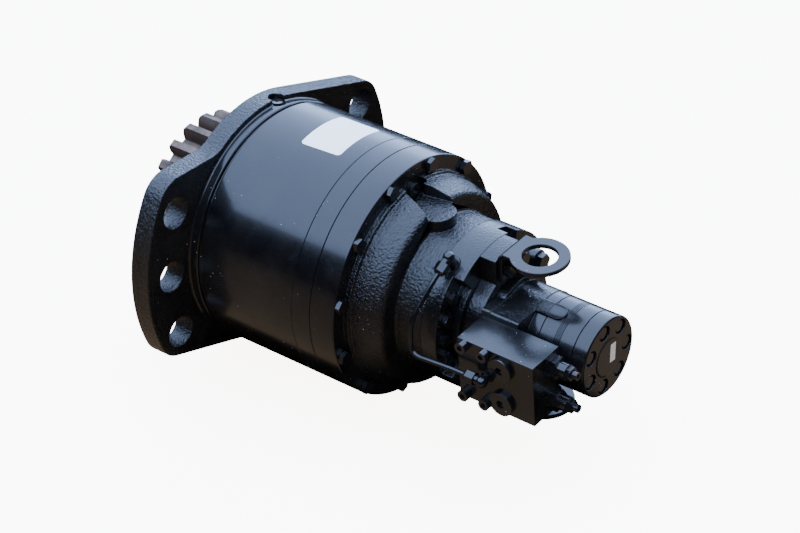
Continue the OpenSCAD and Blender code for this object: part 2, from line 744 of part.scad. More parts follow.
// Two conical disc springs, back to back, push the piston onto the discs
module brake_disc_springs() color("#777b80") {
    mid_x = piston_end + disc_gap / 2 + spring_t + spring_rise;
    for (s = [-1, 1]) {
        far = mid_x + s * (spring_t + spring_rise);
        near = mid_x + s * 0.05;
        turned([[spring_in_r, far], [spring_in_r, far - s * spring_t],
            [spring_out_r, near], [spring_out_r, near + s * spring_t]]);
    }
}

// A slice of a round bar between two angles less than 180 degrees apart
module slice(x0, len, r, from, to) {
    reach = 2 * r;
    middle = (from + to) / 2;
    intersection() {
        bar(x0, len, r);
        on_x(x0 - 1) linear_extrude(len + 2)
            polygon([[0, 0], polar(reach, from), polar(reach, middle), polar(reach, to)]);
    }
}

// The full-radius bosses over and under the adapter, where the lifting lugs stand
module bosses(x0, len) {
    for (turn = [0, 180]) rotate([turn, 0, 0]) intersection() {
        bar(x0, len, brake_r);
        translate([x0 - 1, -boss_near, motor_clear_r + 10])
            cube([len + 2, boss_near + boss_far, brake_r]);
    }
}

brake_core_r = 74;
housing_slice = [30, 133];
lobe_slice = [44, 72];
lobe_reach = 84;
oil_way_in = 11;
oil_way_z = brake_r - oil_way_in;
oil_way_r = 2;

module brake_housing() color("#15171b") difference() {
    union() {
        seam_bar(neck_end, brake_flange_t, brake_r);
        bar(neck_end, brake_len, brake_core_r);
        for (turn = [0, 180]) slice(neck_end + edge, brake_len - edge, brake_r,
            housing_slice[0] + turn, housing_slice[1] + turn);
    }
    bar(neck_end - 1, cavity_depth + 1, cavity_r);
    bar(neck_end - 1, brake_len + 2, input_shaft_r + 3);
    at_turns(brake_screw_turns, brake_screw_pitch_r) {
        bar(neck_end - 1, brake_flange_t + 2, brake_screw_r + 0.25);
        bar(brake_ledge, brake_len, brake_pocket_r);
        translate([brake_ledge, 0, -brake_pocket_r]) cube([brake_len, 30, 2 * brake_pocket_r]);
    }
    rotate([motor_roll, 0, 0]) lug_screw_holes(brake_end - 12, 14);
    rotate([upper_elbow_turn - 90, 0, 0]) {
        translate([upper_elbow_x, 0, brake_r - elbow_sink]) cylinder(h = 20, r = 9);
        translate([upper_elbow_x, 0, oil_way_z - 3]) cylinder(h = 20, r = elbow_stub_r);
        translate([0, 0, oil_way_z]) bar(neck_end - 1, upper_elbow_x - neck_end + 1, oil_way_r);
    }
}

module brake_housing_screws() color("#2b2e33")
    at_turns(brake_screw_turns, brake_screw_pitch_r) {
        bar(neck_end - 14, brake_flange_t + 15, brake_screw_r);
        hex_head(brake_ledge, 6, brake_screw_af);
    }

pilot_r = 50.8;
pilot_h = 9.5;
motor_clear_r = 30;

module lug_screw_holes(x0, len) {
    for (sz = [-1, 1], y = lug_screw_y) translate([0, y, sz * lug_screw_z])
        bar(x0, len, lug_screw_r);
}

module motor_adapter() color("#15171b") rotate([motor_roll, 0, 0]) difference() {
    union() {
        bar(brake_end, adapter_t, brake_core_r - 6);
        bosses(brake_end, adapter_t);
        for (turn = [0, 180]) slice(brake_end, adapter_t, lobe_reach,
            lobe_slice[0] + turn, lobe_slice[1] + turn);
    }
    bar(brake_end - 1, adapter_t + 2, motor_clear_r);
    bar(adapter_end - pilot_h - 0.5, pilot_h + 2, pilot_r + run);
    at_turns(motor_bolt_turns, motor_bolt_pitch_r)
        bar(brake_end + 2, adapter_t, motor_bolt_r);
    lug_screw_holes(brake_end - 1, adapter_t + 2);
}

module motor_bolts() color("#2b2e33") rotate([motor_roll, 0, 0])
    at_turns(motor_bolt_turns, motor_bolt_pitch_r) {
        bar(brake_end + 3, adapter_t + motor_flange_t - 2, motor_bolt_r);
        hex_head(adapter_end + motor_flange_t, 8, motor_bolt_af);
    }

// The motor's cast body in the turned frame: round, with a square side for the valve block
module motor_section(radius, half) {
    circle(r = radius, $fn = 96);
    polygon([[0, -half], [-block_seat + 2, -half], [-block_seat, -half + 2],
        [-block_seat, half - 2], [-block_seat + 2, half], [0, half]]);
}

// The raised pad on the motor's round body
pad_turn = 112.7;
pad_half = 9.5;
pad_rise = 3;
pad_end = port_end - 0.3;
cast_rise = 0.5;
flange_rise = 6.6;

module motor_pad(x0, len) {
    rotate([pad_turn - 90, 0, 0]) intersection() {
        bar(x0, len, motor_r + pad_rise);
        union() {
            translate([x0 - 1, -pad_half, motor_clear_r])
                cube([pad_end - pad_half - x0 + 1, 2 * pad_half, motor_r]);
            translate([pad_end - pad_half, 0, motor_clear_r]) cylinder(h = motor_r, r = pad_half);
        }
    }
}

module motor_housing() color("#15171b") difference() {
    union() {
        bar(adapter_end - pilot_h, pilot_h + 1, pilot_r);
        rotate([motor_roll, 0, 0]) {
            on_x(adapter_end) linear_extrude(motor_flange_t) motor_section(motor_r + flange_rise,
                motor_half + 1);
            at_turns(motor_bolt_turns, motor_bolt_pitch_r)
                bar(adapter_end, motor_flange_t, motor_ear_r);
            for (a = motor_bolt_turns) rotate([a, 0, 0]) translate([adapter_end, 0, -motor_ear_r])
                cube([motor_flange_t, motor_bolt_pitch_r, 2 * motor_ear_r]);
            on_x(adapter_end) linear_extrude(motor_cast_len) motor_section(motor_r + cast_rise,
                motor_half);
        }
        turned([[0, adapter_end], [motor_r, adapter_end], [motor_r, housing_end - edge],
            [motor_r - edge, housing_end], [0, housing_end]]);
        motor_pad(motor_cast_end - 1, housing_end - motor_cast_end + 1);
    }
    bar(adapter_end - pilot_h - 1, motor_housing_len + 20, motor_shaft_r + 6);
    bar(adapter_end + 8, motor_cast_end - adapter_end - 8, motor_shaft_big_r + run);
    rotate([motor_roll, 0, 0]) {
        at_turns(motor_bolt_turns, motor_bolt_pitch_r) {
            bar(adapter_end - 1, motor_flange_t + 2, motor_bolt_r + 0.5);
            bar(adapter_end + motor_flange_t, motor_cast_len, motor_ear_r - 1.5);
        }
        translate([block_x - 0.5, -block_seat - 20, -block_down - 1])
            cube([block_len, 20, block_down + 80]);
        for (x = block_screw_x, z = block_screw_z) translate([x, -block_seat - 1, z])
            rotate([-90, 0, 0]) cylinder(h = 15, r = block_screw_r);
    }
    at_turns(even_turns(cap_bolt_count, cap_bolt_turn), cap_bolt_pitch_r)
        bar(housing_end - 14, 16, cap_bolt_r);
}

module motor_shaft() color("#8b8f94") difference() {
    union() {
        bar(coupling_x + 4, motor_shaft_big_x - coupling_x - 4, motor_shaft_r);
        bar(motor_shaft_big_x, motor_shaft_end - motor_shaft_big_x, motor_shaft_big_r);
    }
    bar(motor_shaft_end - 22, 24, link_r + 2);
}

// The drive link leans from the motor's axis to the rotor's offset axis. Its barrels are crowned
link_pivot_x = motor_shaft_end - 12;
link_rotor_x = (manifold_end + stator_end) / 2;
roller_turn = cap_bolt_turn + 180 / stator_lobes;
rotor_turn = roller_turn - 360 / stator_lobes;
link_lean = atan(rotor_offset / (link_rotor_x - link_pivot_x));

module link_barrel(at, r) {
    half = link_barrel_len / 2;
    turned([[0, at - half], [r - 1, at - half], [r - 0.2, at - half / 2], [r, at],
        [r - 0.2, at + half / 2], [r - 1, at + half], [0, at + half]]);
}

module drive_link() color("#8b8f94")
    rotate([rotor_turn, 0, 0]) translate([link_pivot_x, 0, 0]) rotate([0, 0, link_lean]) {
        span = (link_rotor_x - link_pivot_x) / cos(link_lean);
        link_barrel(0, link_r + 2 - link_play);
        bar(0, span, link_r - 2.5);
        link_barrel(span, rotor_bore_r - link_play);
    }

module motor_stack_bolt_holes(x0, len) {
    at_turns(even_turns(cap_bolt_count, cap_bolt_turn), cap_bolt_pitch_r)
        bar(x0 - 1, len + 2, cap_bolt_r + 0.2);
}

module stack_plate(x0, len, bore_r) difference() {
    seam = min(edge, len / 5);
    turned([[0, x0], [motor_r - seam, x0], [motor_r, x0 + seam], [motor_r, x0 + len - seam],
        [motor_r - seam, x0 + len], [0, x0 + len]]);
    bar(x0 - 1, len + 2, bore_r);
    motor_stack_bolt_holes(x0, len);
}

module port_plate() color("#17191d") {
    stack_plate(housing_end, port_plate_len, motor_shaft_r + 3);
    difference() {
        motor_pad(housing_end, port_plate_len);
        bar(housing_end - 1, port_plate_len + 2, motor_r - 1);
    }
}

module manifold_plates() color("#1b1d21") for (k = [0:manifold_count - 1])
    stack_plate(port_end + k * manifold_t, manifold_t - plate_gap, motor_shaft_r + 2);

// Rotor outline: the curve that rolls inside the seven stator rollers
function rotor_point(t, roller) =
    let (
        n = stator_lobes,
        psi = atan2(sin((1 - n) * t), stator_pitch_r / (rotor_offset * n) - cos((1 - n) * t))
    )
    [stator_pitch_r * cos(t) - roller * cos(t + psi) - rotor_offset * cos(n * t),
     -stator_pitch_r * sin(t) + roller * sin(t + psi) + rotor_offset * sin(n * t)];

module stator_ring() color("#17191d") difference() {
    seam_bar(manifold_end, stator_w, motor_r);
    bar(manifold_end - 1, stator_w + 2, stator_pitch_r - 1.5);
    at_turns(even_turns(stator_lobes, roller_turn), stator_pitch_r)
        bar(manifold_end - 1, stator_w + 2, stator_roller_r);
    motor_stack_bolt_holes(manifold_end, stator_w);
}

module stator_rollers() color("#a9adb2")
    at_turns(even_turns(stator_lobes, roller_turn), stator_pitch_r)
        bar(manifold_end + 0.2, stator_w - 0.4, stator_roller_r - 0.05);

module rotor() color("#8b8f94")
    rotate([rotor_turn, 0, 0]) translate([0, rotor_offset, 0]) difference() {
        on_x(manifold_end + 0.15) linear_extrude(stator_w - 0.3)
            polygon([for (k = [0:71]) rotor_point(5 * k, stator_roller_r + 0.15)]);
        bar(manifold_end - 1, stator_w + 2, rotor_bore_r);
    }

module motor_end_cap() color("#17191d") difference() {
    turned([[0, stator_end], [motor_r - edge, stator_end], [motor_r, stator_end + edge],
        [motor_r, cap_end - 1.5],
        [motor_r - 1.5, cap_end], [24, cap_end], [23, cap_end + 1], [0, cap_end + 1]]);
    at_turns(even_turns(cap_bolt_count, cap_bolt_turn), cap_bolt_pitch_r) {
        bar(cap_end - cap_recess_depth, cap_recess_depth + 2, cap_recess_r);
        bar(stator_end - 1, end_cap_len + 2, cap_bolt_r + 0.2);
    }
}

module end_cap_bolts() color("#2b2e33")
    at_turns(even_turns(cap_bolt_count, cap_bolt_turn), cap_bolt_pitch_r) {
        bar(housing_end - 14, cap_end - cap_recess_depth - housing_end + 15, cap_bolt_r);
        hex_head(cap_end - cap_recess_depth, 6, cap_bolt_af);
    }

// Valve block, in the motor's turned frame: x along the drive, y out from the motor, z up
block_x = adapter_end + block_gap;
block_end = block_x + block_len;
block_back = -block_seat;
block_front = block_back - block_w;
cartridge_z = [22, -24];
cartridge_y = block_front + 37;
cartridge_r = 13;
plug_x = block_x + 60;
plug_z = [22, -25];
port_x = [block_x + 24, block_x + 56];
port_depth = 18;
block_screw_x = [block_x + 9.5, block_x + 38.5];
block_screw_z = [block_up - 7, -block_down + 6.5];
block_screw_r = 4;
block_screw_head_r = 7;

module valve_block() color("#1b1a19") rotate([motor_roll, 0, 0]) difference() {
    translate([block_x, block_front, -block_down]) cube([block_len, block_w, block_up + block_down]);
    for (z = cartridge_z) translate([0, cartridge_y, z]) {
        bar(block_end - 34, 36, cartridge_r - 3);
        bar(block_end - 4, 6, cartridge_r + 3);
    }
    for (z = plug_z) translate([plug_x, block_front - 1, z]) rotate([-90, 0, 0])
        cylinder(h = 15, r = gallery_plug_r - 5);
    for (x = port_x) translate([x, block_front + 26, -block_down - 1])
        cylinder(h = port_depth + 1, r = port_r);
    for (x = block_screw_x, z = block_screw_z) translate([x, block_front - 1, z])
        rotate([-90, 0, 0]) cylinder(h = block_w + 2, r = block_screw_r + 0.25);
    translate([lower_elbow_x, block_front - 1, lower_elbow_z]) rotate([-90, 0, 0])
        cylinder(h = 10, r = elbow_stub_r);
}

module relief_cartridges() color("#22252a") rotate([motor_roll, 0, 0])
    for (z = cartridge_z) translate([0, cartridge_y, z]) difference() {
        union() {
            bar(block_end - 33, 30, cartridge_r - 3);
            bar(block_end - 4, 4, cartridge_r + 2.8);
            hex_bar(block_end, 9, 24);
            bar(block_end + 9, 12, 9.5);
        }
        bar(block_end - 12, 40, 5 + run);
    }

module adjuster(z) color("#2f3237") rotate([motor_roll, 0, 0])
    translate([0, cartridge_y, z]) difference() {
        bar(block_end - 10, 44, 5);
        hex_bar(block_end + 30, 5, 5);
    }

module adjuster_lock_nuts() color("#2b2e33") rotate([motor_roll, 0, 0])
    for (z = cartridge_z) translate([0, cartridge_y, z]) difference() {
        hex_bar(block_end + 21, 6, 15);
        bar(block_end + 20, 8, 5 + run);
    }

module gallery_plugs() color("#242322") rotate([motor_roll, 0, 0])
    for (z = plug_z) translate([plug_x, block_front, z]) rotate([90, 0, 0]) difference() {
        union() {
            cylinder(h = 5, r = gallery_plug_r);
            translate([0, 0, -13]) cylinder(h = 14, r = gallery_plug_r - 5);
        }
        translate([0, 0, 0]) cylinder(h = 6, r = 5.5, $fn = 6);
    }

module block_screws() color("#2b2e33") rotate([motor_roll, 0, 0])
    for (x = block_screw_x, z = block_screw_z) translate([x, block_front, z])
        rotate([90, 0, 0]) difference() {
            union() {
                cylinder(h = 9, r = block_screw_head_r);
                translate([0, 0, -block_w - 12]) cylinder(h = block_w + 13, r = block_screw_r);
            }
            translate([0, 0, 5]) cylinder(h = 5, r = 3.6, $fn = 6);
        }

// Brake release line. The upper elbow stands on the brake housing, the lower one on the block
elbow_stub_r = 5;
elbow_out = 13;
elbow_sink = 0.6;
upper_elbow_x = neck_end + 12;
upper_elbow_turn = 124;
lower_elbow_x = block_x + 42;
lower_elbow_z = 5;
nut_af = 14;
nut_len = 16;
nut_gap = 7;

// A point of the motor's turned frame, in the drive's own frame
function unroll(p) = [p[0], p[1] * cos(motor_roll) - p[2] * sin(motor_roll),
    p[1] * sin(motor_roll) + p[2] * cos(motor_roll)];
function on_turn(x, r, a) = [x, r * cos(a), r * sin(a)];
function unit(v) = v / norm(v);

upper_seat = on_turn(upper_elbow_x, brake_r - elbow_sink, upper_elbow_turn);
upper_elbow = on_turn(upper_elbow_x, brake_r + elbow_out, upper_elbow_turn);
lower_seat = unroll([lower_elbow_x, block_front, lower_elbow_z]);
lower_elbow = unroll([lower_elbow_x, block_front - elbow_out, lower_elbow_z]);
upper_way = unit([neck_end + 10, 18 + block_front, 72] - upper_elbow);
lower_way = [-1, 0, 0];
line_start = upper_elbow + (nut_gap + nut_len - 4) * upper_way;
line_end = lower_elbow + (nut_gap + nut_len - 4) * lower_way;
line_corners = [line_start, line_start + 12 * upper_way, [neck_end, block_front - 10, 28],
    [neck_end + 4, block_front - elbow_out, -12], line_end - [20, 0, 0], line_end];

// Places a piece at p, its local z towards q
module aim(p, q) {
    d = q - p;
    translate(p) rotate([0, acos(d[2] / norm(d)), atan2(d[1], d[0])]) children();
}

module elbow(seat, centre, way) {
    aim(seat, centre) {
        translate([0, 0, -7]) cylinder(h = 8, r = elbow_stub_r);
        cylinder(h = 5, r = 7.5, $fn = 6);
        translate([0, 0, 4]) cylinder(h = norm(centre - seat) - 4, r = 6);
    }
    translate(centre) sphere(r = 7);
    aim(centre, centre + way) cylinder(h = nut_gap + 2, r = 5.5);
}

module brake_line_elbows() color("#3a3d42") {
    elbow(upper_seat, upper_elbow, upper_way);
    elbow(lower_seat, lower_elbow, lower_way);
}

module tube_nut(centre, way) aim(centre, centre + way) translate([0, 0, nut_gap + 2.05])
    difference() {
        union() {
            cylinder(h = nut_len - 5, r = nut_af / 2 * hex_share, $fn = 6);
            translate([0, 0, nut_len - 5.5]) cylinder(h = 3.5, r1 = nut_af / 2, r2 = 5);
        }
        translate([0, 0, -1]) cylinder(h = nut_len + 2, r = line_r + run);
    }

module tube_nuts() color("#3a3d42") {
    tube_nut(upper_elbow, upper_way);
    tube_nut(lower_elbow, lower_way);
}

// The line's middle runs straight between its corners and turns each of them in a curve
bend = 14;
bend_steps = 5;
function corner_points(a, b, c) =
    let (from = b + unit(a - b) * min(bend, norm(a - b) / 2),
        to = b + unit(c - b) * min(bend, norm(c - b) / 2))
    [for (k = [0:bend_steps]) let (t = k / bend_steps)
        (1 - t) * (1 - t) * from + 2 * t * (1 - t) * b + t * t * to];
line_points = concat([line_corners[0]],
    [for (i = [1:len(line_corners) - 2])
        each corner_points(line_corners[i - 1], line_corners[i], line_corners[i + 1])],
    [line_corners[len(line_corners) - 1]]);
line_sides = 12;

// One ring of points about the line at point i, square to it
function line_ring(i) =
    let (
        last = len(line_points) - 1,
        ahead = unit(line_points[min(i + 1, last)] - line_points[max(i - 1, 0)]),
        side = unit(cross(ahead, [0.3, 1, 0.2])),
        up = cross(side, ahead)
    )
    [for (k = [0:line_sides - 1]) line_points[i]
        + line_r * (cos(360 * k / line_sides) * side + sin(360 * k / line_sides) * up)];

module brake_tube() color("#3a3d42") {
    rings = len(line_points);
    faces = concat(
        [[for (k = [line_sides - 1:-1:0]) k]],
        [for (i = [0:rings - 2], k = [0:line_sides - 1])
            let (a = i * line_sides, b = a + line_sides, n = (k + 1) % line_sides)
            [a + k, a + n, b + n, b + k]],
        [[for (k = [0:line_sides - 1]) (rings - 1) * line_sides + k]]);
    polyhedron([for (i = [0:rings - 1]) each line_ring(i)], faces);
}

// Lifting lug: a bent plate with an eye, the lower one the upper one's mirror image
lug_x0 = adapter_end;
lug_eye_x = adapter_end + 42.5;
lug_leg = 40;
lug_bend_r = 6;
lug_screw_x = adapter_end + lug_t;
lug_screw_z = lug_z - 26;
lug_screw_y = [-12, 12];
lug_screw_r = 5;
lug_screw_af = 16;

module lug() difference() {
    union() {
        translate([lug_x0, -lug_w / 2, lug_z - lug_leg]) cube([lug_t, lug_w, lug_leg - lug_bend_r]);
        translate([lug_x0 + lug_bend_r, -lug_w / 2, lug_z - lug_t])
            cube([lug_eye_x - lug_x0 - lug_bend_r, lug_w, lug_t]);
        intersection() {
            translate([lug_x0 + lug_t + lug_bend_r, lug_w / 2, lug_z - lug_t - lug_bend_r])
                rotate([90, 0, 0]) difference() {
                    cylinder(h = lug_w, r = lug_t + lug_bend_r);
                    translate([0, 0, -1]) cylinder(h = lug_w + 2, r = lug_bend_r);
                }
            translate([lug_x0 - 1, -lug_w, lug_z - lug_t - lug_bend_r])
                cube([lug_t + lug_bend_r + 1, 2 * lug_w, 40]);
        }
        translate([lug_eye_x, 0, lug_z - lug_t]) cylinder(h = lug_t, r = lug_eye_r, $fn = 96);
    }
    translate([lug_eye_x, 0, lug_z - lug_t - 1]) cylinder(h = lug_t + 2, r = lug_hole_r);
    for (y = lug_screw_y) translate([0, y, lug_screw_z])
        bar(lug_x0 - 1, lug_t + 2, lug_screw_r + 0.25);
}

module upper_lug() color("#1d2025") rotate([motor_roll, 0, 0]) lug();

module lower_lug() color("#1d2025") rotate([motor_roll, 0, 0]) mirror([0, 0, 1]) lug();

module lug_screws() color("#2b2e33") rotate([motor_roll, 0, 0])
    for (sz = [-1, 1], y = lug_screw_y) translate([0, y, sz * lug_screw_z]) {
        bar(brake_end - 10, adapter_t + lug_t + 11, lug_screw_r);
        hex_head(lug_screw_x, 7, lug_screw_af);
    }

mounting_flange();
level_plug();
pinion_shaft();
shaft_seal();
output_bearing_cups();
output_bearing_cones();
output_bearing_rollers();
bearing_nut();
output_ring_gear();
output_carrier();
output_planet_pins();
output_planet(0);  // output_planet_1
output_planet(1);  // output_planet_2
output_planet(2);  // output_planet_3
output_sun();
input_ring_gear();
input_carrier();
input_planet_pins();
input_planet(0);  // input_planet_1
input_planet(1);  // input_planet_2
input_planet(2);  // input_planet_3
input_shaft();
end_cover();
cover_bolts();
fill_plug();
input_bearing_outer();
input_bearing_inner();
input_bearing_balls();
brake_friction_discs();
brake_steel_discs();
brake_piston();
brake_disc_springs();
brake_housing();
brake_housing_screws();
motor_adapter();
motor_bolts();
motor_housing();
motor_shaft();
drive_link();
port_plate();
manifold_plates();
stator_ring();
stator_rollers();
rotor();
motor_end_cap();
end_cap_bolts();
valve_block();
relief_cartridges();
adjuster(cartridge_z[0]);  // upper_adjuster
adjuster(cartridge_z[1]);  // lower_adjuster
adjuster_lock_nuts();
gallery_plugs();
block_screws();
brake_line_elbows();
tube_nuts();
brake_tube();
upper_lug();
lower_lug();
lug_screws();
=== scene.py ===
"""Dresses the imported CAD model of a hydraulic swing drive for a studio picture.

The drive lies on its side: output pinion to the left, motor to the right. Every visible casting,
bolt and pipe is a copy of its CAD node with its edges broken, and everything outside is sprayed
with one black enamel, over cast iron, turned steel or zinc-plated fasteners.
"""

import json
import logging
import math
from dataclasses import dataclass, field
from enum import Enum
from typing import Any, Iterable, Sequence

import bmesh
import bpy
from mathutils import Matrix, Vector
from mathutils.bvhtree import BVHTree

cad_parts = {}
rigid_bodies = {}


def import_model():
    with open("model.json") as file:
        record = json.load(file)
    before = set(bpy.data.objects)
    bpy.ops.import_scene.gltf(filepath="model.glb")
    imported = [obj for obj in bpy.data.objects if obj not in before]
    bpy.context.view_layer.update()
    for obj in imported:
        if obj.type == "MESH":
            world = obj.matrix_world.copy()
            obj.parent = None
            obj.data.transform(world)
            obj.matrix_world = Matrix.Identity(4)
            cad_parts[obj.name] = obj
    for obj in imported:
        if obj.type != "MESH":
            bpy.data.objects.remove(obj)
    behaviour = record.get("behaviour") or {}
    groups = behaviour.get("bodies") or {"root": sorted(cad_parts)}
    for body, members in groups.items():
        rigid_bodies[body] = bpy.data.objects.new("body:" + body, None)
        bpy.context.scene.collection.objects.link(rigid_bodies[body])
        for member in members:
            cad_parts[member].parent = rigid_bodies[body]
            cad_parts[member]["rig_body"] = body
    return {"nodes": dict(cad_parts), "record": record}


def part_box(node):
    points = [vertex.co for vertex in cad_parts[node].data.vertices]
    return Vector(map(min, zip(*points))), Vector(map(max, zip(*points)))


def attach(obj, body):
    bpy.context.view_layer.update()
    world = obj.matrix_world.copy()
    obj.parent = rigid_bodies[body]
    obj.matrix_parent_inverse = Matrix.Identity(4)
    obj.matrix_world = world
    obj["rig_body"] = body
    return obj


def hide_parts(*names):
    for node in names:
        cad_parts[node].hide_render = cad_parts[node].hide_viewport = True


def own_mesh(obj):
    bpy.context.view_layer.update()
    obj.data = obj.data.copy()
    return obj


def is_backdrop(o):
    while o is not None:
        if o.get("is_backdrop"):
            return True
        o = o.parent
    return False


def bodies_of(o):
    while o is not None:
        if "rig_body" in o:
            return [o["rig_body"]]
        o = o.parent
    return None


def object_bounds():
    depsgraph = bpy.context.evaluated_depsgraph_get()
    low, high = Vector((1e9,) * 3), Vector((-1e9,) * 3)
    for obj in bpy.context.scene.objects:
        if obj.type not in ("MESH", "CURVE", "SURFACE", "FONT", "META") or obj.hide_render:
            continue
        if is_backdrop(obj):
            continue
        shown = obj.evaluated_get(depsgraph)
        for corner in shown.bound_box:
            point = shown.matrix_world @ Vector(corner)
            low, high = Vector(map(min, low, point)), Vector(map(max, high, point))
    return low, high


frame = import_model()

LOG = logging.getLogger("swing_drive")
MM = 0.001
# Corners this close, in metres, are one corner.
DOUBLES_M = 2e-6
# Faces that turn less than this lie in one plane.
FLAT_DEG = 0.6
# A corner of an edge break lies within this share of the break's width from the old surface.
STRAY_SHARE = 0.6


class Surface(Enum):
    """How the metal under the paint was made."""

    TURNED = "turned"
    CAST = "cast"
    ROUGH_CAST = "rough_cast"


def linear(hex_colour: str) -> tuple[float, float, float, float]:
    """Turns an sRGB hex colour into Blender's linear colour.

    Args:
        hex_colour: Six hex digits, such as "15161a".

    Returns:
        Red, green, blue and an alpha of one.
    """
    values = [int(hex_colour[i:i + 2], 16) / 255 for i in (0, 2, 4)]
    red, green, blue = [v / 12.92 if v <= 0.04045 else ((v + 0.055) / 1.055) ** 2.4 for v in values]
    return red, green, blue, 1.0


def add_node(tree: bpy.types.NodeTree, kind: str, settings: dict[str, Any] | None = None,
             values: dict[str, Any] | None = None,
             links: dict[str | int, bpy.types.NodeSocket] | None = None) -> bpy.types.Node:
    """Adds a shader node with its settings, socket values and incoming links.

    Args:
        tree: The node tree it goes into.
        kind: Blender's name for the node type.
        settings: Properties of the node itself.
        values: Default values by input name.
        links: Output sockets by the name or number of the input they feed.

    Returns:
        The new node.
    """
    node = tree.nodes.new(kind)
    for name, value in (settings or {}).items():
        setattr(node, name, value)
    for name, value in (values or {}).items():
        node.inputs[name].default_value = value
    for name, socket in (links or {}).items():
        tree.links.new(socket, node.inputs[name])
    return node


def per_metre(size_mm: float) -> float:
    """Noise scale, in features a metre, for a feature of a real size in millimetres."""
    return 1000.0 / size_mm


def blank_material(name: str) -> tuple[bpy.types.Material, bpy.types.NodeTree, bpy.types.Node,
                                       bpy.types.NodeSocket]:
    """Makes an empty node material.

    Args:
        name: The material's name.

    Returns:
        The material, its tree, its output node and the object coordinates.
    """
    material = bpy.data.materials.new(name)
    material.use_nodes = True
    tree = material.node_tree
    tree.nodes.clear()
    output = add_node(tree, "ShaderNodeOutputMaterial")
    place = add_node(tree, "ShaderNodeTexCoord")
    return material, tree, output, place.outputs["Object"]


